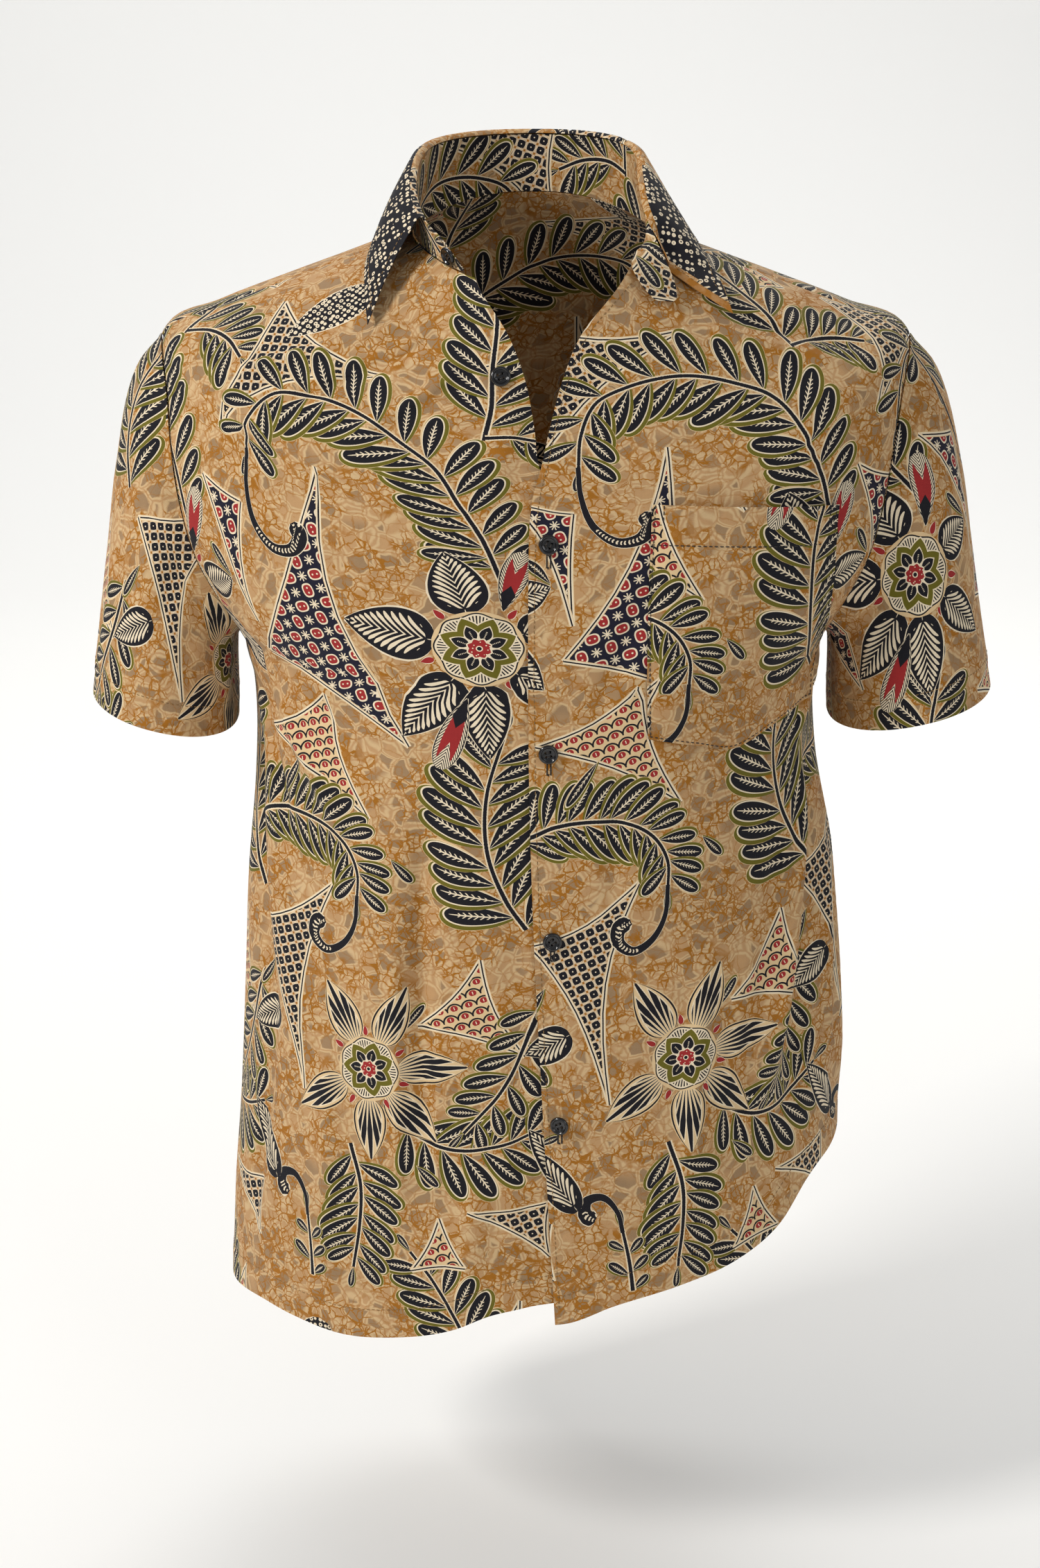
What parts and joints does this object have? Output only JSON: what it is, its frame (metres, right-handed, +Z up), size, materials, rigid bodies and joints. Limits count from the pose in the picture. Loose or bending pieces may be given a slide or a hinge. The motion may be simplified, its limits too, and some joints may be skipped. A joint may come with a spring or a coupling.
{
  "type": "short-sleeve shirt",
  "caption": "Short-sleeve cotton shirt, empty and filled out as worn, with an open pointed collar, a buttoned front, set-in sleeves and a chest pocket.",
  "frame": {"origin": "middle of the neck opening, at the height where the shoulder seams meet the collar", "axes": "+Z up, front faces -Y, the wearer's left is +X"},
  "size_m": [0.559, 0.2635, 0.7461],
  "materials": {
    "printed_cotton": "woven cotton with a dense all-over print",
    "button_black": "polished moulded plastic"
  },
  "bodies": {
    "root": {"front_right": "printed_cotton", "front_left": "printed_cotton", "back": "printed_cotton", "sleeve_right": "printed_cotton", "sleeve_left": "printed_cotton", "collar_stand": "printed_cotton", "collar_fall": "printed_cotton", "pocket_left": "printed_cotton", "button_collar": "button_black", "button_1": "button_black", "button_2": "button_black", "button_3": "button_black", "button_4": "button_black", "button_5": "button_black"}
  },
  "joints": []
}
